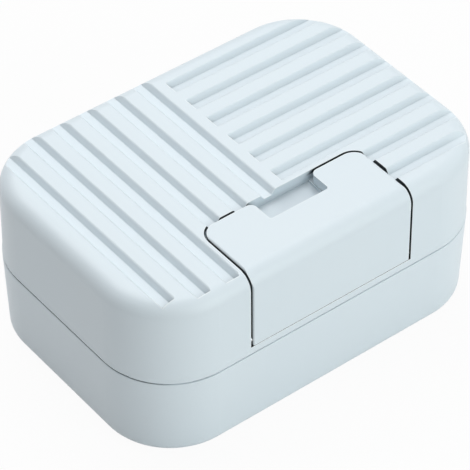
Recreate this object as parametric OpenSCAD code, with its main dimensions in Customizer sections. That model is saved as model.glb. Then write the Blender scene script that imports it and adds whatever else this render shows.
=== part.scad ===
// Travel soap box: a shallow base, a grooved lid on two rear hinges, a front
// latch that swings down from the lid, and a slotted tray that lifts out.
// Millimetres, +Z up, the latch side faces -Y, the bottom rests on Z = 0.

/* [Case] */
// Length of the closed case along X
case_l = 115; // [108:1:122]
// Width of the closed case along Y, without the hinge knuckles
case_w = 80.4; // [78:0.4:84]
// Height of the closed case
case_h = 51.4; // [49:0.4:54]
// Height of the joint between base and lid
joint_z = 25.2; // [24.8:0.1:26]
// Radius of the four upright corners
corner_r = 21; // [19:0.5:23]
// Radius of the rounding round the top of the lid
top_r = 4.6; // [3.8:0.2:5]
// Radius of the rounding round the bottom of the base
foot_r = 2.2; // [1.6:0.2:2.8]
// Wall thickness of base and lid
wall = 2.4; // [2.4:0.1:2.6]
// Thickness of the base floor
floor_t = 2.4; // [2:0.1:3]
// How far the lid wall leans in from the joint to the top
lid_draft = 0.4; // [0.2:0.1:0.6]
// How far the base wall leans in from the joint to the bottom
base_draft = 0.7; // [0.4:0.1:0.9]

/* [Joint] */
// Open height of the line between base and lid
joint_gap = 0.3; // [0.2:0.05:0.4]
// Rounding of the two outer rims along that line
rim_r = 0.4; // [0.3:0.05:0.5]
// Height of the lip that rises from the base into the lid
lip_h = 3; // [2.4:0.2:3.2]
// Thickness of the lid skirt outside the lip
skirt_t = 1.1; // [1:0.05:1.2]
// How far the lid wall flares out just above the joint
flare_out = 0.15; // [0.1:0.05:0.2]
// Height of that flare
flare_h = 1.6; // [1.4:0.1:2]
// Side clearance between lip and skirt
lip_gap = 0.2; // [0.15:0.05:0.25]

/* [Grooves] */
// Distance from one groove to the next
groove_pitch = 8.9; // [8.6:0.05:9]
// Depth of the grooves
groove_d = 1.6; // [1.2:0.1:1.8]
// Groove width at the lid surface
groove_top_w = 4.6; // [4:0.1:5]
// Groove width at its floor
groove_floor_w = 2.4; // [2:0.1:2.6]
// Rounding of the two long edges of a groove
groove_edge_r = 0.9; // [0.7:0.1:1]
// Grooves that run from front to back on the left part
cross_grooves = 6; // [4:1:6]
// Centre of the front-to-back groove nearest the middle
cross_first_x = -3.2; // [-3.6:0.1:-3]
// Grooves that run along X on the right part
long_grooves = 8; // [6:2:8]
// Where the grooves that run along X begin
long_start_x = 2.4; // [2:0.1:3]
// How far the front-to-back grooves stop short of the front
groove_front_gap = 3.4; // [3:0.1:4.4]

/* [Latch] */
// Width of the latch along X
latch_w = 51.6; // [48:0.4:52]
// How far the latch plate reaches back from the front of the case
latch_reach = 22.2; // [21:0.2:22.6]
// Radius of the two rear corners of the latch plate
latch_corner_r = 4.5; // [3.5:0.5:5]
// Thickness of the latch plate on top
latch_plate_t = 2.8; // [2.4:0.1:3]
// Thickness of the latch panel in front
latch_panel_t = 3; // [2.8:0.1:3.2]
// Gap round the latch
latch_gap = 0.7; // [0.5:0.05:0.8]
// Height of the lid strip that runs below the latch
strip_h = 2.4; // [2:0.1:3]
// Thickness of that strip
strip_t = 2; // [1.8:0.1:2.1]
// Gap between the round lower end of the latch and its seat in the strip
latch_foot_gap = 0.12; // [0.1:0.02:0.2]
// Distance of the latch axis behind the front face
latch_axis_in = 1.35; // [1.3:0.05:1.5]
// Rounding of the outer side edges of the latch
latch_edge_r = 0.8; // [0.6:0.1:0.9]
// Width of the finger notch
notch_w = 19; // [17:0.2:21]
// Sideways position of the finger notch
notch_x = 0.6; // [0:0.1:1]
// Depth of the finger notch from the rear edge of the plate
notch_d = 7.6; // [6.6:0.2:8.4]
// Depth of the finger scoop below the lid surface at its rear wall
scoop_d = 3.5; // [3.4:0.1:3.8]
// Slope of the scoop floor down towards the front
scoop_slope = 10; // [6:1:10]

/* [Catch] */
// Width of the catch tongue and of the ridge that hooks under it
catch_w = 15; // [10:1:18]
// Thickness of the catch tongue
tongue_t = 1.3; // [1.2:0.1:1.4]
// Height of the tongue above the joint
tongue_h = 13; // [12.6:0.1:13.4]
// Height of the ridge on the latch above the joint
ridge_h = 10.2; // [10:0.1:10.6]
// Radius of the nose on the tongue and of the ridge on the latch
catch_r = 0.75; // [0.7:0.05:0.8]
// How far nose and ridge overlap from front to back
catch_bite = 0.35; // [0.25:0.05:0.4]

/* [Hinges] */
// Distance of each hinge from the end of the case
hinge_inset = 27.5; // [25:0.5:31]
// Distance of the hinge axis behind the rear face
hinge_out = 2.8; // [2.7:0.05:3]
// Outer radius of the hinge knuckles
knuckle_r = 2.4; // [2.2:0.1:2.4]
// Length of the middle knuckle, which belongs to the lid
lid_knuckle_l = 11; // [8:1:12]
// Length of each outer knuckle, which belongs to the base
base_knuckle_l = 5; // [4:0.5:6]
// Gap between neighbouring knuckles
knuckle_gap = 0.3; // [0.3:0.05:0.4]
// Diameter of the hinge pins
hinge_pin_d = 2; // [1.8:0.1:2.2]
// Length of the stop heel from the hinge axis
heel_l = 3.1; // [3.1:0.05:3.15]
// Direction of the heel below level while the lid is closed
heel_angle = 30; // [29:0.5:30]

/* [Tray] */
// Height of the tray plate above the base floor
tray_lift = 7; // [5:0.5:8]
// Thickness of the tray plate
tray_t = 2; // [1.8:0.1:2.4]
// Height of the rim above the plate
tray_rim_h = 3; // [2:0.5:3.5]
// Thickness of the rim
tray_rim_t = 1.6; // [1.4:0.1:2]
// Gap between the tray and the base wall at the ends and behind
tray_gap = 1.3; // [1:0.1:1.5]
// Gap between the front of the tray and the back of the latch housing
tray_front_gap = 1.7; // [1:0.1:2]
// Diameter of the tray legs
leg_d = 5; // [4:0.5:6]
// Distance of each leg from the end of the tray
leg_end = 17; // [15:0.5:19]
// Distance of each leg from the front or rear edge of the tray
leg_side = 6; // [5:0.5:8]
// Drain slots from left to right
slot_count = 9; // [5:2:9]
// Distance from one slot to the next
slot_pitch = 8; // [7.6:0.1:8.2]
// Width of a drain slot
slot_w = 3.2; // [2.6:0.2:3.6]
// Length of a drain slot
slot_l = 22; // [16:1:24]
// Distance of each row of slots from the middle of the tray
slot_row_y = 14.5; // [13.5:0.5:15.5]
// Height of the ribs between the slots
rib_h = 1.2; // [0.8:0.1:1.5]
// Width of those ribs
rib_w = 1.4; // [1.2:0.1:1.8]
// Diameter of the two finger holes
finger_d = 13; // [11:1:14]
// Distance of each finger hole from the end of the tray
finger_end = 9.1; // [8.9:0.1:10.1]

/* [Hidden] */
$fn = 96;
case_blue = [0.87, 0.91, 0.93];
pin_grey = [0.72, 0.73, 0.75];

// clearance that every cut adds beyond the solid it leaves
over = 1;
// radial running clearances of the steel pins
pin_hold = 0.02;
pin_run = 0.06;
// how far each end of a hinge pin stays inside its knuckle
pin_short = 0.2;

base_top = joint_z - joint_gap / 2;
lid_bottom = joint_z + joint_gap / 2;
front_y = -case_w / 2;
rear_y = case_w / 2;
mid_l = case_l - 2 * corner_r;
mid_w = case_w - 2 * corner_r;

hinge_x = case_l / 2 - hinge_inset;
hinge_y = rear_y + hinge_out;
heel_half_t = 0.6;
hinge_l = lid_knuckle_l + 2 * (knuckle_gap + base_knuckle_l);

// the hinges stand out behind, so the case moves forward to centre the whole
rear_reach = hinge_out + heel_l * cos(heel_angle) + heel_half_t * sin(heel_angle);
case_y = -rear_reach / 2;

// the lid ceiling lies below the groove floors
ceiling_t = groove_d + 1.8;
ceiling_z = case_h - ceiling_t;
inner_top_r = 2;
skirt_room_z = joint_z + lip_h + joint_gap;

// how far joined solids sink into each other
overlap = 0.5;

// latch pocket in the lid, as distances behind the front face
pocket_half_w = latch_w / 2 + latch_gap;
pocket_y = front_y + latch_reach + latch_gap;
pocket_floor_z = case_h - latch_plate_t - joint_gap;
ridge_out = 0.5;
tongue_room = 0.8;
tongue_back_gap = 0.4;
ridge_y = latch_panel_t + ridge_out - catch_r;
nose_y = latch_panel_t + ridge_out - catch_bite + catch_r;
tongue_y = latch_panel_t + tongue_room;
ridge_z = joint_z + ridge_h;
nose_z = ridge_z + 2 * catch_r - 0.1;
pocket_back = tongue_y + tongue_t + tongue_back_gap;
skin_t = 1.6;
cheek_t = 3;

// the round lower end of the latch turns in a seat in the strip, and the two
// front edges meet so low that the latch clears the strip when it is wide open
latch_open = 104;
foot_drop = latch_axis_in * tan(latch_open / 2);
seat_r = sqrt(latch_axis_in * latch_axis_in + foot_drop * foot_drop);
foot_r_latch = seat_r - latch_foot_gap;
latch_axis_y = front_y + latch_axis_in;
latch_axis_z = lid_bottom + strip_h + foot_drop;
housing_half_w = pocket_half_w + cheek_t;
housing_inset = 0.3;
housing_back = pocket_back + skin_t;
hang_z = joint_z - 1.5;
lip_end_gap = 0.7;
latch_skin_gap = 0.02;
lid_lean = atan((lid_draft - flare_out) / (case_h - top_r - lid_bottom - flare_h));
latch_fillet_r = 2;

// small steel pins at both ends of the latch
latch_pin_r = 0.75;
latch_pin_in = latch_w / 2 - 6;
latch_pin_out = housing_half_w - 0.2;
latch_pin_end_gap = 0.2;

// finger scoop
scoop_half_w = notch_w / 2;
scoop_room = 3;
scoop_back_y = pocket_y;
scoop_front_y = front_y + pocket_back + scoop_room;
scoop_l = scoop_back_y - scoop_front_y - skin_t;
scoop_low_z = case_h - scoop_d - scoop_l * tan(scoop_slope) - skin_t;

// tray
tray_z = floor_t + tray_lift;
tray_l = case_l - 2 * (wall + base_draft + tray_gap);
tray_front_y = front_y + housing_back + tray_front_gap;
tray_rear_y = rear_y - wall - base_draft - tray_gap;
tray_w = tray_rear_y - tray_front_y;
tray_y = (tray_front_y + tray_rear_y) / 2;
tray_r = corner_r - wall - tray_gap;
leg_foot_gap = 0.05;

// Rounded rectangle centred on the origin, used for plan shapes
module plan_shape(l, w, r) {
    square([l - 2 * r, w], center = true);
    square([l, w - 2 * r], center = true);
    for (sx = [-1, 1])
        for (sy = [-1, 1])
            translate([sx * (l / 2 - r), sy * (w / 2 - r)])
                circle(r);
}

// Carries a half section round the rounded outline of the case. The section
// begins at the centre of the corner arcs and reaches outward in X.
module round_the_case() {
    for (quarter = [[1, 1, 0], [-1, 1, 90], [-1, -1, 180], [1, -1, 270]])
        translate([quarter[0] * mid_l / 2, quarter[1] * mid_w / 2, 0])
            rotate([0, 0, quarter[2]])
                rotate_extrude(angle = 90)
                    children();
    for (turn = [0, 180])
        rotate([0, 0, turn])
            translate([mid_l / 2, 0, 0])
                rotate([90, 0, 0])
                    linear_extrude(height = mid_w, center = true)
                        children();
    for (turn = [90, 270])
        rotate([0, 0, turn])
            translate([mid_w / 2, 0, 0])
                rotate([90, 0, 0])
                    linear_extrude(height = mid_l, center = true)
                        children();
}

// The same with the middle filled from one height to another
module filled_case(z0, z1) {
    round_the_case()
        children();
    translate([0, 0, z0])
        linear_extrude(height = z1 - z0)
            square([mid_l, mid_w], center = true);
}

// Section of the base from corner centre to outer face
module base_section() {
    low_u = corner_r - base_draft;
    polygon([[0, 0], [low_u - foot_r, 0], [low_u, foot_r], [corner_r, base_top - rim_r],
             [corner_r - rim_r, base_top], [0, base_top]]);
    translate([low_u - foot_r, foot_r])
        circle(foot_r);
    translate([corner_r - rim_r, base_top - rim_r])
        circle(rim_r);
}

// Section of the hollow of the base
module base_hollow_section() {
    low_u = corner_r - base_draft - wall;
    polygon([[0, floor_t], [low_u - foot_r, floor_t], [low_u, floor_t + foot_r],
             [corner_r - wall, base_top], [corner_r - wall, base_top + lip_h + over],
             [0, base_top + lip_h + over]]);
    translate([low_u - foot_r, floor_t + foot_r])
        circle(foot_r);
}

// Section of the lid from corner centre to outer face
module lid_section() {
    high_u = corner_r - lid_draft;
    polygon([[0, lid_bottom], [corner_r - rim_r, lid_bottom], [corner_r, lid_bottom + rim_r],
             [corner_r, lid_bottom + flare_h / 2], [corner_r - flare_out, lid_bottom + flare_h],
             [high_u, case_h - top_r], [high_u - top_r, case_h], [0, case_h]]);
    translate([high_u - top_r, case_h - top_r])
        circle(top_r);
    translate([corner_r - rim_r, lid_bottom + rim_r])
        circle(rim_r);
}

// Section of the hollow of the lid, wider at the mouth to leave the thin skirt
module lid_hollow_section() {
    high_u = corner_r - lid_draft - wall;
    polygon([[0, lid_bottom - over], [corner_r - skirt_t, lid_bottom - over],
             [corner_r - skirt_t, skirt_room_z], [corner_r - wall, skirt_room_z],
             [high_u, ceiling_z - inner_top_r], [high_u - inner_top_r, ceiling_z],
             [0, ceiling_z]]);
    translate([high_u - inner_top_r, ceiling_z - inner_top_r])
        circle(inner_top_r);
}

// Lays a section drawn in Y and Z along X, centred on the middle
module along_x(length) {
    rotate([90, 0, 90])
        linear_extrude(height = length, center = true)
            children();
}

// A straight round bar along X, centred on x, in case coordinates
module bar_x(x, y, z, r, length) {
    translate([x, y, z])
        rotate([0, 90, 0])
            cylinder(h = length, r = r, center = true);
}

// Groove cutter along Y: a flat floor, sloping flanks and rounded upper edges
module groove_cutter(length) {
    lean = atan((groove_top_w - groove_floor_w) / 2 / groove_d);
    // length of the rounding along the flank and along the top
    bite = groove_edge_r * tan((90 - lean) / 2);
    edge_x = groove_top_w / 2 + bite;
    flank_x = groove_top_w / 2 - bite * sin(lean);
    flank_z = bite * cos(lean);
    // the rounding ends a hair above the surface, so the two meet cleanly
    edge_rise = 0.02;
    translate([0, 0, case_h])
        rotate([-90, 0, 0])
            linear_extrude(height = length)
                difference() {
                    polygon([[-groove_floor_w / 2, groove_d], [-flank_x, flank_z],
                             [-edge_x, groove_edge_r], [-edge_x, -over], [edge_x, -over],
                             [edge_x, groove_edge_r], [flank_x, flank_z],
                             [groove_floor_w / 2, groove_d]]);
                    for (side = [-1, 1])
                        translate([side * edge_x, groove_edge_r - edge_rise])
                            circle(groove_edge_r, $fn = 24);
                }
}

// All grooves of the lid; those on the left follow the front corner where they end
module lid_grooves() {
    corner_x = mid_l / 2;
    for (i = [0 : cross_grooves - 1]) {
        x = cross_first_x - i * groove_pitch;
        past = max(0, -x - corner_x);
        corner_drop = corner_r - sqrt(corner_r * corner_r - past * past);
        start_y = front_y + corner_drop + groove_front_gap;
        translate([x, start_y, 0])
            groove_cutter(rear_y + over - start_y);
    }
    for (i = [0 : long_grooves - 1])
        translate([long_start_x, (i - (long_grooves - 1) / 2) * groove_pitch, 0])
            rotate([0, 0, -90])
                groove_cutter(case_l / 2 + over - long_start_x);
}

// Front of the lid seen from the side, in Y and Z, filled back to a given Y
module front_outline(reach_y) {
    translate([-mid_w / 2, 0])
        mirror([1, 0])
            lid_section();
    translate([-mid_w / 2, lid_bottom])
        square([reach_y + mid_w / 2, case_h - lid_bottom]);
}

// Solid round the latch pocket, before the pocket is cut
module latch_housing() {
    along_x(2 * housing_half_w)
        intersection() {
            translate([housing_inset, -housing_inset])
                front_outline(pocket_y + skin_t);
            union() {
                translate([front_y, lid_bottom])
                    square([housing_back, case_h]);
                translate([front_y, pocket_floor_z - skin_t])
                    square([pocket_y + skin_t - front_y, case_h]);
            }
        }
    translate([notch_x - scoop_half_w - skin_t, scoop_front_y, scoop_low_z])
        cube([notch_w + 2 * skin_t, scoop_back_y + skin_t - scoop_front_y,
              case_h - groove_d - scoop_low_z - housing_inset]);
    translate([-housing_half_w, front_y + pocket_back, hang_z])
        cube([2 * housing_half_w, skin_t, pocket_floor_z - hang_z]);
}

// The pocket itself: a deep slot in front and a shallow bed on top. Below the
// axis the slot ends in a round seat, and behind the strip it is open downward.
module latch_pocket() {
    translate([-pocket_half_w, front_y - over, latch_axis_z])
        cube([2 * pocket_half_w, pocket_back + over, case_h]);
    translate([-pocket_half_w, front_y + strip_t, lid_bottom - over])
        cube([2 * pocket_half_w, pocket_back - strip_t, case_h]);
    bar_x(0, latch_axis_y, latch_axis_z, seat_r, 2 * pocket_half_w);
    bed_l = pocket_y - front_y + over;
    bed_r = latch_corner_r + latch_gap;
    translate([0, 0, pocket_floor_z])
        linear_extrude(height = latch_plate_t + joint_gap + over) {
            translate([-pocket_half_w, front_y - over])
                square([2 * pocket_half_w, bed_l - bed_r]);
            translate([-pocket_half_w + bed_r, front_y - over])
                square([2 * (pocket_half_w - bed_r), bed_l]);
            for (sx = [-1, 1])
                translate([sx * (pocket_half_w - bed_r), pocket_y - bed_r])
                    circle(bed_r);
        }
}

// Room for a fingertip under the notch, with a floor that falls to the front
module finger_scoop() {
    deepest = 9;
    intersection() {
        translate([notch_x - scoop_half_w, scoop_back_y - scoop_l, case_h - deepest])
            cube([notch_w, scoop_l, deepest + over]);
        translate([notch_x - scoop_half_w - over, scoop_back_y, case_h - scoop_d])
            rotate([scoop_slope, 0, 0])
                translate([0, -2 * scoop_l, 0])
                    cube([notch_w + 2 * over, 2 * scoop_l + 2 * over, deepest + 3 * over]);
    }
}

// One hinge leaf: a knuckle and the arm that joins it to the case wall
module knuckle(x, length, arm_z0, arm_z1) {
    bar_x(x, hinge_y, joint_z, knuckle_r, length);
    sunk = skirt_t - 0.1;
    translate([x - length / 2, rear_y - sunk, arm_z0])
        cube([length, hinge_out + sunk, arm_z1 - arm_z0]);
}

// Heel on the lid knuckle that meets the rear wall when the lid is wide open
module stop_heel(x) {
    translate([x - lid_knuckle_l / 2, hinge_y, joint_z])
        rotate([-heel_angle, 0, 0])
            translate([0, 0, -heel_half_t])
                cube([lid_knuckle_l, heel_l, 2 * heel_half_t]);
}

// Tongue on the base that rises behind the latch and carries the outward nose
module catch_tongue() {
    root_y = front_y + wall - 0.6;
    root_z = joint_z - 11;
    gusset_h = 3.5;
    along_x(catch_w) {
        polygon([[root_y, root_z], [front_y + wall, root_z],
                 [front_y + tongue_y + tongue_t, root_z + gusset_h],
                 [front_y + tongue_y + tongue_t, joint_z + tongue_h],
                 [front_y + tongue_y, joint_z + tongue_h],
                 [front_y + tongue_y, base_top], [root_y, base_top]]);
        translate([front_y + nose_y, nose_z])
            circle(catch_r);
    }
}

module base_shell() {
    color(case_blue)
        translate([0, case_y, 0])
            difference() {
                union() {
                    difference() {
                        filled_case(0, base_top)
                            base_section();
                        filled_case(floor_t, base_top + lip_h + over)
                            base_hollow_section();
                    }
                    difference() {
                        round_the_case()
                            translate([corner_r - wall, base_top - over])
                                square([wall - skirt_t - lip_gap, lip_h + joint_gap / 2 + over]);
                        translate([-housing_half_w - lip_end_gap, front_y - over, base_top])
                            cube([2 * (housing_half_w + lip_end_gap), wall + 2 * over,
                                  lip_h + over]);
                    }
                    catch_tongue();
                    for (side = [-1, 1])
                        for (end = [-1, 1])
                            knuckle(side * hinge_x
                                    + end * (lid_knuckle_l / 2 + knuckle_gap + base_knuckle_l / 2),
                                    base_knuckle_l, joint_z - knuckle_r, joint_z - joint_gap);
                }
                for (side = [-1, 1])
                    bar_x(side * hinge_x, hinge_y, joint_z, hinge_pin_d / 2 + pin_hold,
                          hinge_l + over);
            }
}

module lid_shell() {
    color(case_blue)
        translate([0, case_y, 0])
            difference() {
                union() {
                    difference() {
                        filled_case(lid_bottom, case_h)
                            lid_section();
                        filled_case(lid_bottom - over, ceiling_z)
                            lid_hollow_section();
                    }
                    latch_housing();
                    for (side = [-1, 1]) {
                        knuckle(side * hinge_x, lid_knuckle_l, joint_z + joint_gap,
                                joint_z + knuckle_r);
                        stop_heel(side * hinge_x);
                    }
                }
                latch_pocket();
                finger_scoop();
                lid_grooves();
                for (side = [-1, 1])
                    bar_x(side * hinge_x, hinge_y, joint_z, hinge_pin_d / 2 + pin_run,
                          lid_knuckle_l + over);
                bar_x(0, latch_axis_y, latch_axis_z, latch_pin_r + pin_run,
                      2 * housing_half_w);
            }
}

// Section of the latch: a panel in front, a plate on top, one rounded outer skin,
// and a round lower end about the axis
module latch_section() {
    intersection() {
        front_outline(front_y + latch_reach);
        translate([latch_axis_y, latch_axis_z])
            circle(foot_r_latch);
    }
    intersection() {
        front_outline(front_y + latch_reach);
        difference() {
            translate([front_y - over, latch_axis_z])
                square([latch_reach + over, case_h]);
            translate([front_y + latch_panel_t, 0])
                square([latch_reach, case_h - latch_plate_t - latch_fillet_r]);
            translate([front_y + latch_panel_t + latch_fillet_r, 0])
                square([latch_reach, case_h - latch_plate_t]);
            translate([front_y + latch_panel_t + latch_fillet_r,
                       case_h - latch_plate_t - latch_fillet_r])
                circle(latch_fillet_r);
        }
    }
}

// The space inside the rounded side edges of the latch, seen along one direction
// of the outer skin: upright at 0, across the top rounding at -45, level at -90
module latch_edge_space(turn) {
    skin_y = top_r + latch_skin_gap;
    translate([0, front_y + lid_draft + top_r, case_h - top_r])
        rotate([turn, 0, 0])
            linear_extrude(height = 3 * case_h, center = true) {
                translate([-latch_w / 2, latch_edge_r - skin_y])
                    square([latch_w, 2 * case_h]);
                translate([latch_edge_r - latch_w / 2, -skin_y])
                    square([latch_w - 2 * latch_edge_r, 2 * case_h]);
                for (side = [-1, 1])
                    translate([side * (latch_w / 2 - latch_edge_r), latch_edge_r - skin_y])
                        circle(latch_edge_r);
            }
}

// Plan of the latch with rounded rear corners and the finger notch
module latch_plan() {
    rear = front_y + latch_reach;
    // radii of the inner corners of the notch and of the corners beside its mouth
    notch_r = 0.8;
    mouth_r = 2;
    notch_front = rear - notch_d;
    difference() {
        union() {
            translate([-latch_w / 2, front_y - over])
                square([latch_w, latch_reach + over - latch_corner_r]);
            translate([-latch_w / 2 + latch_corner_r, front_y - over])
                square([latch_w - 2 * latch_corner_r, latch_reach + over]);
            for (sx = [-1, 1])
                translate([sx * (latch_w / 2 - latch_corner_r), rear - latch_corner_r])
                    circle(latch_corner_r);
        }
        translate([notch_x - notch_w / 2, notch_front + notch_r])
            square([notch_w, notch_d + over]);
        translate([notch_x - notch_w / 2 + notch_r, notch_front])
            square([notch_w - 2 * notch_r, notch_d + over]);
        for (sx = [-1, 1]) {
            translate([notch_x + sx * (notch_w / 2 - notch_r), notch_front + notch_r])
                circle(notch_r);
            difference() {
                translate([notch_x + sx * (notch_w + mouth_r) / 2, rear + (over - mouth_r) / 2])
                    square([mouth_r, mouth_r + over], center = true);
                translate([notch_x + sx * (notch_w / 2 + mouth_r), rear - mouth_r])
                    circle(mouth_r);
            }
        }
    }
}

module front_latch() {
    color(case_blue)
        translate([0, case_y, 0])
            difference() {
                union() {
                    intersection() {
                        along_x(latch_w)
                            latch_section();
                        linear_extrude(height = case_h + over)
                            latch_plan();
                        latch_edge_space(-lid_lean);
                        latch_edge_space(-45);
                        latch_edge_space(-90);
                    }
                    bar_x(0, front_y + ridge_y, ridge_z, catch_r, catch_w);
                }
                for (side = [-1, 1])
                    bar_x(side * latch_w / 2, latch_axis_y, latch_axis_z,
                          latch_pin_r + pin_hold, 2 * (latch_w / 2 - latch_pin_in));
            }
}

module latch_pin(side) {
    color(pin_grey)
        translate([0, case_y, 0])
            bar_x(side * (latch_pin_in + latch_pin_out) / 2, latch_axis_y, latch_axis_z,
                  latch_pin_r, latch_pin_out - latch_pin_in - latch_pin_end_gap);
}

module hinge_pin(side) {
    color(pin_grey)
        translate([0, case_y, 0])
            bar_x(side * hinge_x, hinge_y, joint_z, hinge_pin_d / 2, hinge_l - 2 * pin_short);
}

// Plan of the tray, drawn in by an inset
module tray_plan(inset) {
    plan_shape(tray_l - 2 * inset, tray_w - 2 * inset, tray_r - inset);
}

// One drain slot with round ends
module drain_slot() {
    square([slot_w, slot_l - slot_w], center = true);
    for (end = [-1, 1])
        translate([0, end * (slot_l - slot_w) / 2])
            circle(slot_w / 2);
}

module drain_tray() {
    color(case_blue)
        translate([0, case_y + tray_y, 0]) {
            difference() {
                translate([0, 0, tray_z])
                    linear_extrude(height = tray_t + tray_rim_h)
                        tray_plan(0);
                translate([0, 0, tray_z + tray_t])
                    linear_extrude(height = tray_rim_h + over)
                        tray_plan(tray_rim_t);
                translate([0, 0, tray_z - over])
                    linear_extrude(height = tray_t + 2 * over) {
                        for (i = [0 : slot_count - 1])
                            for (row = [-1, 1])
                                translate([(i - (slot_count - 1) / 2) * slot_pitch,
                                           row * slot_row_y])
                                    drain_slot();
                        for (side = [-1, 1])
                            translate([side * (tray_l / 2 - finger_end), 0])
                                circle(finger_d / 2);
                    }
            }
            for (i = [0 : slot_count])
                for (row = [-1, 1])
                    translate([(i - slot_count / 2) * slot_pitch - rib_w / 2,
                               row * slot_row_y - slot_l / 2, tray_z + tray_t - overlap])
                        cube([rib_w, slot_l, rib_h + overlap]);
            for (sx = [-1, 1])
                for (sy = [-1, 1])
                    translate([sx * (tray_l / 2 - leg_end), sy * (tray_w / 2 - leg_side),
                               floor_t + leg_foot_gap])
                        cylinder(h = tray_lift + overlap - leg_foot_gap, d = leg_d);
        }
}

base_shell();
lid_shell();
front_latch();
latch_pin(-1);  // latch_pin_left
latch_pin(1);  // latch_pin_right
hinge_pin(-1);  // hinge_pin_left
hinge_pin(1);  // hinge_pin_right
drain_tray();
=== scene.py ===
# %% [markdown]
# # A travel soap box in the studio
# The packed model gives every piece of the box at its real size, in metres. This
# lesson loads it, gives each piece the look of satin moulded plastic or of drawn
# steel wire, and sets the box on a white table as a catalogue picture shows it.
# All eight pieces keep the meshes that the construction gave them. Roundings,
# grooves and gaps are already there, so the work is in the finishes.

# %% Load the packed model
import math

import bpy
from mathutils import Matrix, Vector


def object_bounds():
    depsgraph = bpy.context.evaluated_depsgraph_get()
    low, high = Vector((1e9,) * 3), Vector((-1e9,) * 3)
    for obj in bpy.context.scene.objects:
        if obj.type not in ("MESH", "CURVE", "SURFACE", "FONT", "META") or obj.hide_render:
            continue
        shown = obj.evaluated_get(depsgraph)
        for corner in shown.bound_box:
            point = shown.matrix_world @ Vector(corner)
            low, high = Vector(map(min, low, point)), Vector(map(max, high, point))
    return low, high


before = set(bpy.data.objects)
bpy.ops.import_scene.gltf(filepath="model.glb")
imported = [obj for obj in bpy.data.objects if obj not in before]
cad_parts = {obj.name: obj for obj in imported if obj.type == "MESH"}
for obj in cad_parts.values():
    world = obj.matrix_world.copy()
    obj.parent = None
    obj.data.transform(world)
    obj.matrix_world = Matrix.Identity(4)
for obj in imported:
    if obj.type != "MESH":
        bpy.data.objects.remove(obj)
cad_low, cad_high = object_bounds()
MM_PER_METRE = 1000


def in_mm(*metres):
    return [round(MM_PER_METRE * v, 2) for v in metres]


print("box of the solids in mm:", in_mm(*cad_low, *cad_high))

# %% [markdown]
# The photograph looks down on the front left corner through a long lens, so the
# edges that run away from the viewer hardly come together. The place of a camera
# can be guessed by eye, but here it was worked out from the straight edges of the
# case, which fixes the lens and both angles at once.

# %% Camera
CAMERA_AT = Vector((-0.335778, -0.431212, 0.526852))
CAMERA_AZIMUTH = -38.0820
CAMERA_ELEVATION = 42.8566
FOCAL_PIXELS = 2787.60
PICTURE_PIXELS = 470
CENTRE_OFFSET_PIXELS = 0.5
SENSOR_MM = 36.0
NEAREST_SEEN = 0.01


def make_camera():
    data = bpy.data.cameras.new("studio_camera")
    data.sensor_width = SENSOR_MM
    data.lens = FOCAL_PIXELS / PICTURE_PIXELS * SENSOR_MM
    data.shift_x = -CENTRE_OFFSET_PIXELS / PICTURE_PIXELS
    data.shift_y = CENTRE_OFFSET_PIXELS / PICTURE_PIXELS
    data.clip_start = NEAREST_SEEN
    camera = bpy.data.objects.new("studio_camera", data)
    bpy.context.scene.collection.objects.link(camera)
    around = math.radians(CAMERA_AZIMUTH)
    above = math.radians(CAMERA_ELEVATION)
    level = math.cos(above)
    back = Vector((math.sin(around) * level, -math.cos(around) * level, math.sin(above)))
    camera.rotation_mode = "QUATERNION"
    camera.rotation_quaternion = (-back).to_track_quat("-Z", "Y")
    camera.location = CAMERA_AT
    bpy.context.scene.camera = camera
    return camera


camera = make_camera()
print("lens in mm:", round(camera.data.lens, 2))

# %% [markdown]
# A finish is a web of shader nodes. They could be added and joined one by one, but
# shader maths reads best as plain expressions. The class below wraps the output of
# a node, and each operator adds the Math node that does it, so that 1 - mask works.
# The larger of two values is a | b.

# %% Shader arithmetic


class Shade:
    """A socket of a material, with arithmetic that adds Math nodes."""

    def __init__(self, tree, socket):
        self.tree = tree
        self.socket = socket

    def math(self, operation, first, second=0.0, clamp=False):
        settings = {"operation": operation, "use_clamp": clamp}
        return node(self.tree, "ShaderNodeMath", settings, {0: first, 1: second})

    def __add__(self, other):
        return self.math("ADD", self, other)

    __radd__ = __add__

    def __mul__(self, other):
        return self.math("MULTIPLY", self, other)

    __rmul__ = __mul__

    def __sub__(self, other):
        return self.math("SUBTRACT", self, other)

    def __rsub__(self, other):
        return self.math("SUBTRACT", other, self)

    def __or__(self, other):
        return self.math("MAXIMUM", self, other)

    __ror__ = __or__

    def __abs__(self):
        return self.math("ABSOLUTE", self)

    def root(self):
        return self.math("SQRT", self)

    def limited(self):
        """The value kept between 0 and 1."""
        return self.math("ADD", self, clamp=True)


print("reflected operators:", [name for name in vars(Shade) if name.startswith("__r")])

# %% [markdown]
# Any other node comes from `node`, which takes the type, its settings and the
# values or links of its sockets. Colours go through Mix, since a Math node would
# turn them grey. A finish could be placed by the point in the room, but then it
# would slide over a piece that moves, so it is placed by the point on the piece.

# %% Nodes, colour mixes and places
MIX_FACTOR, MIX_COLOUR_A, MIX_COLOUR_B, MIX_COLOUR_RESULT = 0, 6, 7, 2


def node(tree, kind, settings=None, values=None, output=0):
    """Adds a node, first its settings, then its socket values or links."""
    made = tree.nodes.new(kind)
    for name, value in (settings or {}).items():
        if name == "ramp_stops":
            stops = made.color_ramp.elements
            while len(stops) < len(value):
                stops.new(1.0)
            for stop, (place, grey) in zip(stops, value):
                stop.position = place
                stop.color = (grey, grey, grey, 1.0)
        else:
            setattr(made, name, value)
    for name, value in (values or {}).items():
        if isinstance(value, Shade):
            tree.links.new(value.socket, made.inputs[name])
        else:
            made.inputs[name].default_value = value
    return Shade(tree, made.outputs[output]) if len(made.outputs) else None


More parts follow.
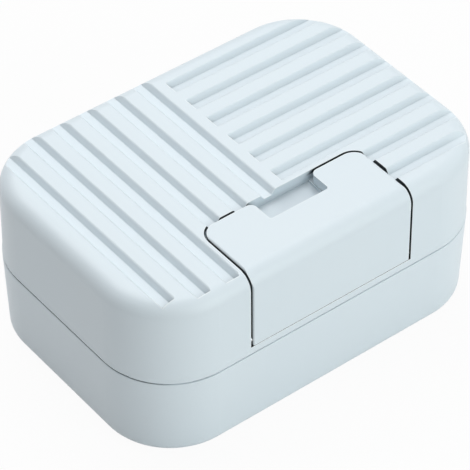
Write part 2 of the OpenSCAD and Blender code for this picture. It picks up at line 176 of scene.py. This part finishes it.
def mix_colour(tree, factor, a, b):
    """Mixes two colours, a where factor is 0 and b where it is 1."""
    settings = {"data_type": "RGBA", "clamp_factor": True}
    values = {MIX_FACTOR: factor, MIX_COLOUR_A: a, MIX_COLOUR_B: b}
    return node(tree, "ShaderNodeMix", settings, values, output=MIX_COLOUR_RESULT)


def new_material(name):
    material = bpy.data.materials.new(name)
    material.use_nodes = True
    material.node_tree.nodes.clear()
    return material, material.node_tree


def place_on_piece(tree):
    """Where a point lies on its piece, as the closed box stands."""
    return node(tree, "ShaderNodeTexCoord", output="Object")


def along(tree, axis):
    return node(tree, "ShaderNodeSeparateXYZ", {}, {"Vector": place_on_piece(tree)}, output=axis)


print("helpers ready:", node.__name__, mix_colour.__name__, along.__name__)

# %% [markdown]
# The case is moulded in a pale, slightly blue plastic with a satin skin. Two faint
# noises vary it: a broad one tints the colour as uneven pigment does, and a fine
# one breaks up the gloss and dimples the surface like the grain of a steel mould.
# A picture of plastic would do the same at one distance only, while noise stays
# sharp from near and far.

# %% Colours and grain of the plastic
PLASTIC = (0.705, 0.792, 0.850, 1.0)
PLASTIC_WARM = (0.718, 0.800, 0.848, 1.0)
PIGMENT_SCALE, PIGMENT_DETAIL = 38.0, 2.0
GRAIN_SCALE, GRAIN_DETAIL = 2600.0, 3.0
GRAIN_DEPTH = 0.0001
GRAIN_STRENGTH = 0.06
SATIN_ROUGHNESS = 0.36
ROUGHNESS_SPREAD = 0.10
PLASTIC_IOR = 1.49


def grain(tree):
    """The two noises of the plastic, both fixed to the piece."""
    place = place_on_piece(tree)
    broad = node(tree, "ShaderNodeTexNoise", {},
                 {"Vector": place, "Scale": PIGMENT_SCALE, "Detail": PIGMENT_DETAIL})
    fine = node(tree, "ShaderNodeTexNoise", {},
                {"Vector": place, "Scale": GRAIN_SCALE, "Detail": GRAIN_DETAIL})
    return broad, fine


print("one patch of pigment and one grain in mm:", in_mm(1 / PIGMENT_SCALE, 1 / GRAIN_SCALE))

# %% [markdown]
# Edges of the plastic get a painted highlight: their colour is lighter where light would catch them.
# Such edges can be painted by hand, but here short rays find them: sent into the plastic, they meet
# its other side only near an edge. That follows every edge of every piece.

# %% Painted highlight on the edges
PLASTIC_EDGE_HIGHLIGHT = (0.860, 0.925, 0.955, 1.0)
EDGE_REACH = 0.0003
EDGE_GAIN = 2.2
EDGE_RAYS = 12


def paint_edge_highlights(tree, colour):
    settings = {"samples": EDGE_RAYS, "inside": True}
    inner = node(tree, "ShaderNodeAmbientOcclusion", settings, {"Distance": EDGE_REACH}, output="AO")
    # painted highlight: the lighter edge colour is mixed in near every edge
    return mix_colour(tree, (EDGE_GAIN * (1 - inner)).limited(), colour, PLASTIC_EDGE_HIGHLIGHT)


print("rays into the plastic reach in mm:", in_mm(EDGE_REACH))

# %% [markdown]
# The slits beside the latch and the joint along the side look dark. Traced light alone leaves them
# much paler, because pale walls pass it on, so their mouths get painted shade. What lies deeper is
# seen when the box is open and gets none, so the finish needs to know how deep a point lies. Each
# piece could carry a mask of its own, but the closed case is a rounded block, and the depth below
# its skin is worked out from the outline, its corners and the rounding of the lid.

# %% Depth below the skin of the case
OUTLINE_HALF = (cad_high.x, 0.0402)
OUTLINE_CENTRE_Y = cad_low.y + OUTLINE_HALF[1]
OUTLINE_CORNER = 0.021
LID_ROUNDING = 0.0046


def length_of(a, b):
    return (a * a + b * b).root()


def depth_below_skin(tree):
    """Depth below the outer skin of the closed case, at most LID_ROUNDING."""
    x = along(tree, "X")
    y = along(tree, "Y") - OUTLINE_CENTRE_Y
    beyond_x = (abs(x) - (OUTLINE_HALF[0] - OUTLINE_CORNER)) | 0.0
    beyond_y = (abs(y) - (OUTLINE_HALF[1] - OUTLINE_CORNER)) | 0.0
    side = OUTLINE_CORNER - length_of(beyond_x, beyond_y)
    top = cad_high.z - along(tree, "Z")
    return LID_ROUNDING - length_of((LID_ROUNDING - side) | 0.0, (LID_ROUNDING - top) | 0.0)


print("centre of the outline along Y in mm:", in_mm(OUTLINE_CENTRE_Y))

# %% [markdown]
# A dark line could be painted along every gap, but it would have to be placed piece
# by piece. Here short rays outwards find a gap, because its other wall stops them.
# One ramp turns a narrow gap almost black, and with it the closed ends of the
# grooves, which are nearly as tight. A second one gives open corners, such as the
# feet of the grooves, a little shade. The dark mouth is less deep at the joint than
# beside the latch, and the hinge knuckles, which stand proud of the case, have none.

# %% Painted shade in the mouths of the gaps
GAP_SHADE = (0.004, 0.010, 0.013, 1.0)
GAP_REACH = 0.0028
GAP_RAYS = 24
GAP_STOPS = [(0.0, 0.0), (0.40, 0.02), (0.54, 0.50), (0.70, 0.95), (0.80, 1.0)]
CORNER_STOPS = [(0.0, 0.92), (0.54, 0.90), (0.70, 0.90), (0.90, 1.0)]
JOINT_TOP_Z, JOINT_FADE = 0.0264, 5000.0
JOINT_MOUTH, LATCH_MOUTH, MOUTH_FADE = 0.0005, 0.0015, 4000.0
SKIN_PROUD = 0.0006


def gap_mouth(tree):
    """1 near the skin, 0 deeper down and on the hinge knuckles."""
    above_joint = (JOINT_FADE * (along(tree, "Z") - JOINT_TOP_Z)).limited()
    reach = JOINT_MOUTH + (LATCH_MOUTH - JOINT_MOUTH) * above_joint
    depth = depth_below_skin(tree)
    on_case = (MOUTH_FADE * (depth + SKIN_PROUD)).limited()
    return (MOUTH_FADE * (reach - depth)).limited() * on_case


def shade_gaps(tree, colour, kept_clear=0.0):
    outer = node(tree, "ShaderNodeAmbientOcclusion", {"samples": GAP_RAYS},
                 {"Distance": GAP_REACH}, output="AO")
    gap = node(tree, "ShaderNodeValToRGB", {"ramp_stops": GAP_STOPS}, {"Fac": outer})
    corner = node(tree, "ShaderNodeValToRGB", {"ramp_stops": CORNER_STOPS}, {"Fac": outer})
    clear = corner * (gap | (1 - gap_mouth(tree)))
    # painted shade: the near-black gap colour is mixed in where the short rays are stopped
    return mix_colour(tree, clear | kept_clear, GAP_SHADE, colour)


print("rays outwards reach in mm:", in_mm(GAP_REACH))

# %% [markdown]
# One material serves the base, the lid, the latch and the tray. The line between
# lid and base is dark along the side of the photographed box but faint in front. A
# second material for the front would show a border where the two meet, so the
# place on the piece holds the shade back instead, fading round the corners.

# %% Plastic
FRONT_CORNER_Y, FRONT_FADE = -0.032, 140.0
FRONT_CLEAR = 0.95


def front_joint(tree):
    """FRONT_CLEAR at the joint in front, fading to 0 round the corners and above it."""
    in_front = (FRONT_FADE * (FRONT_CORNER_Y - along(tree, "Y"))).limited()
    low = (JOINT_FADE * (JOINT_TOP_Z - along(tree, "Z"))).limited()
    return FRONT_CLEAR * in_front * low


def plastic_material():
    material, tree = new_material("case_plastic_satin")
    broad, fine = grain(tree)
    # painted highlight on the edges over the pigment colour
    colour = paint_edge_highlights(tree, mix_colour(tree, broad, PLASTIC, PLASTIC_WARM))
    # painted shade in the mouths of the gaps, held back at the joint in front
    colour = shade_gaps(tree, colour, kept_clear=front_joint(tree))
    bump = node(tree, "ShaderNodeBump", {},
                {"Strength": GRAIN_STRENGTH, "Distance": GRAIN_DEPTH, "Height": fine})
    skin = node(tree, "ShaderNodeBsdfPrincipled", {}, {
        "Base Color": colour, "Roughness": SATIN_ROUGHNESS + ROUGHNESS_SPREAD * fine,
        "Normal": bump, "IOR": PLASTIC_IOR,
    })
    node(tree, "ShaderNodeOutputMaterial", {}, {"Surface": skin})
    return material


plastic = plastic_material()
print("made", plastic.name)

# %% [markdown]
# The pins are cut from drawn steel wire. Plain polished metal would do from afar,
# but drawing leaves fine lines along the wire, so a noise that is stretched along X
# varies the colour, roughness and surface.

# %% Steel
STEEL = (0.62, 0.63, 0.65, 1.0)
STEEL_DARK = (0.50, 0.51, 0.53, 1.0)
DRAWN_SCALE, DRAWN_DETAIL = (40.0, 4000.0, 4000.0), 3.0
DRAWN_DEPTH = 0.00005
DRAWN_STRENGTH = 0.1
STEEL_ROUGHNESS = 0.22
STEEL_SPREAD = 0.2


def steel_material():
    material, tree = new_material("pin_steel_drawn")
    stretched = node(tree, "ShaderNodeMapping", {},
                     {"Vector": place_on_piece(tree), "Scale": DRAWN_SCALE})
    lines = node(tree, "ShaderNodeTexNoise", {},
                 {"Vector": stretched, "Scale": 1.0, "Detail": DRAWN_DETAIL})
    # the gaps round the pins get the same painted shade
    colour = shade_gaps(tree, mix_colour(tree, lines, STEEL_DARK, STEEL))
    bump = node(tree, "ShaderNodeBump", {},
                {"Strength": DRAWN_STRENGTH, "Distance": DRAWN_DEPTH, "Height": lines})
    skin = node(tree, "ShaderNodeBsdfPrincipled", {}, {
        "Base Color": colour, "Metallic": 1.0,
        "Roughness": STEEL_ROUGHNESS + STEEL_SPREAD * lines, "Normal": bump,
    })
    node(tree, "ShaderNodeOutputMaterial", {}, {"Surface": skin})
    return material


steel = steel_material()
print("made", steel.name)

# %% [markdown]
# Base, lid, latch and tray are mouldings of one plastic, and the four pins are steel. Each could be
# rebuilt as a finer mesh, but the packed pieces already have their true forms and sit where they
# belong. Putting a finish in the material slot is all that they need.

# %% Give every piece its finish
FINISHES = {
    "base_shell": plastic, "lid_shell": plastic, "front_latch": plastic, "drain_tray": plastic,
    "latch_pin_left": steel, "latch_pin_right": steel,
    "hinge_pin_left": steel, "hinge_pin_right": steel,
}
for name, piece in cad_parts.items():
    piece.data.materials.clear()
    piece.data.materials.append(FINISHES[name])
print("pieces dressed:", len(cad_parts))

# %% [markdown]
# A catalogue picture has no visible room. The floor is mostly plain white to the
# rays that show it, from the camera or by way of a reflection, and keeps a little
# of the real shade under the box so that it stands. A bright lamp could bleach the
# floor too, but it would bleach the pale plastic with it.

# %% Floor
FLOOR_HALF = 1.6
FLOOR_BELOW = 0.00005
FLOOR_SHADE = 0.06
FLOOR_GREY = (0.8, 0.8, 0.8, 1.0)


def seen_by_viewer(tree):
    """1 for rays from the camera, off a glossy surface or through a clear one."""
    camera, glossy, clear = (node(tree, "ShaderNodeLightPath", output=f"Is {kind} Ray")
                             for kind in ("Camera", "Glossy", "Transmission"))
    return camera | glossy | clear


def floor_material():
    material, tree = new_material("studio_white")
    matte = node(tree, "ShaderNodeBsdfDiffuse", {}, {"Color": FLOOR_GREY})
    white = node(tree, "ShaderNodeEmission", {}, {"Strength": 1.0})
    share = (1 - FLOOR_SHADE) * seen_by_viewer(tree)
    mixed = node(tree, "ShaderNodeMixShader", {}, {0: share, 1: matte, 2: white})
    node(tree, "ShaderNodeOutputMaterial", {}, {"Surface": mixed})
    return material


def make_floor():
    mesh = bpy.data.meshes.new("studio_floor")
    half, z = FLOOR_HALF, cad_low.z - FLOOR_BELOW
    corners = [(-half, -half, z), (half, -half, z), (half, half, z), (-half, half, z)]
    mesh.from_pydata(corners, [], [(0, 1, 2, 3)])
    floor = bpy.data.objects.new("studio_floor", mesh)
    bpy.context.scene.collection.objects.link(floor)
    mesh.materials.append(floor_material())
    return floor


floor = make_floor()
print("side of", floor.name, "in mm:", in_mm(2 * FLOOR_HALF))

# %% [markdown]
# The photograph has soft light and no hard shadow. A bright world alone could give
# that, but the grooves would look flat. So a large panel above and behind leaves
# the groove walls that face the camera in shade, and a second panel low in front
# lights the latch side. The left side faces neither and is the darkest. A white
# world fills the shadows; the camera and reflections see it at full white.

# %% Light
WORLD_STRENGTH = 0.27
OVERHEAD_AT, OVERHEAD_SIDE, OVERHEAD_WATTS = (0.15, 0.45, 1.00), 1.1, 9.6
FRONT_AT, FRONT_SIDE, FRONT_WATTS = (0.22, -1.00, 0.35), 0.9, 6.5
WHITE = (1.0, 1.0, 1.0)
FRONT_TINT = (0.96, 1.0, 0.985)
LIT_POINT = (0.0, 0.0, 0.02)


def make_world():
    world = bpy.data.worlds.new("studio_world")
    bpy.context.scene.world = world
    world.use_nodes = True
    tree = world.node_tree
    tree.nodes.clear()
    strength = WORLD_STRENGTH + (1 - WORLD_STRENGTH) * seen_by_viewer(tree)
    white = node(tree, "ShaderNodeBackground", {}, {"Color": (*WHITE, 1), "Strength": strength})
    node(tree, "ShaderNodeOutputWorld", {}, {"Surface": white})


def area_light(name, place, side, watts, colour):
    data = bpy.data.lights.new(name, "AREA")
    data.shape = "SQUARE"
    data.size = side
    data.energy = watts
    data.color = colour
    lamp = bpy.data.objects.new(name, data)
    bpy.context.scene.collection.objects.link(lamp)
    lamp.location = place
    aim = Vector(LIT_POINT) - Vector(place)
    lamp.rotation_mode = "QUATERNION"
    lamp.rotation_quaternion = aim.to_track_quat("-Z", "Y")


make_world()
area_light("overhead_panel", OVERHEAD_AT, OVERHEAD_SIDE, OVERHEAD_WATTS, WHITE)
area_light("front_panel", FRONT_AT, FRONT_SIDE, FRONT_WATTS, FRONT_TINT)

# %% [markdown]
# A view can bend colours as film does, but the Standard view shows a colour about as it is written,
# which a pale product needs.

# %% View
bpy.context.scene.view_settings.view_transform = "Standard"

# %% [markdown]
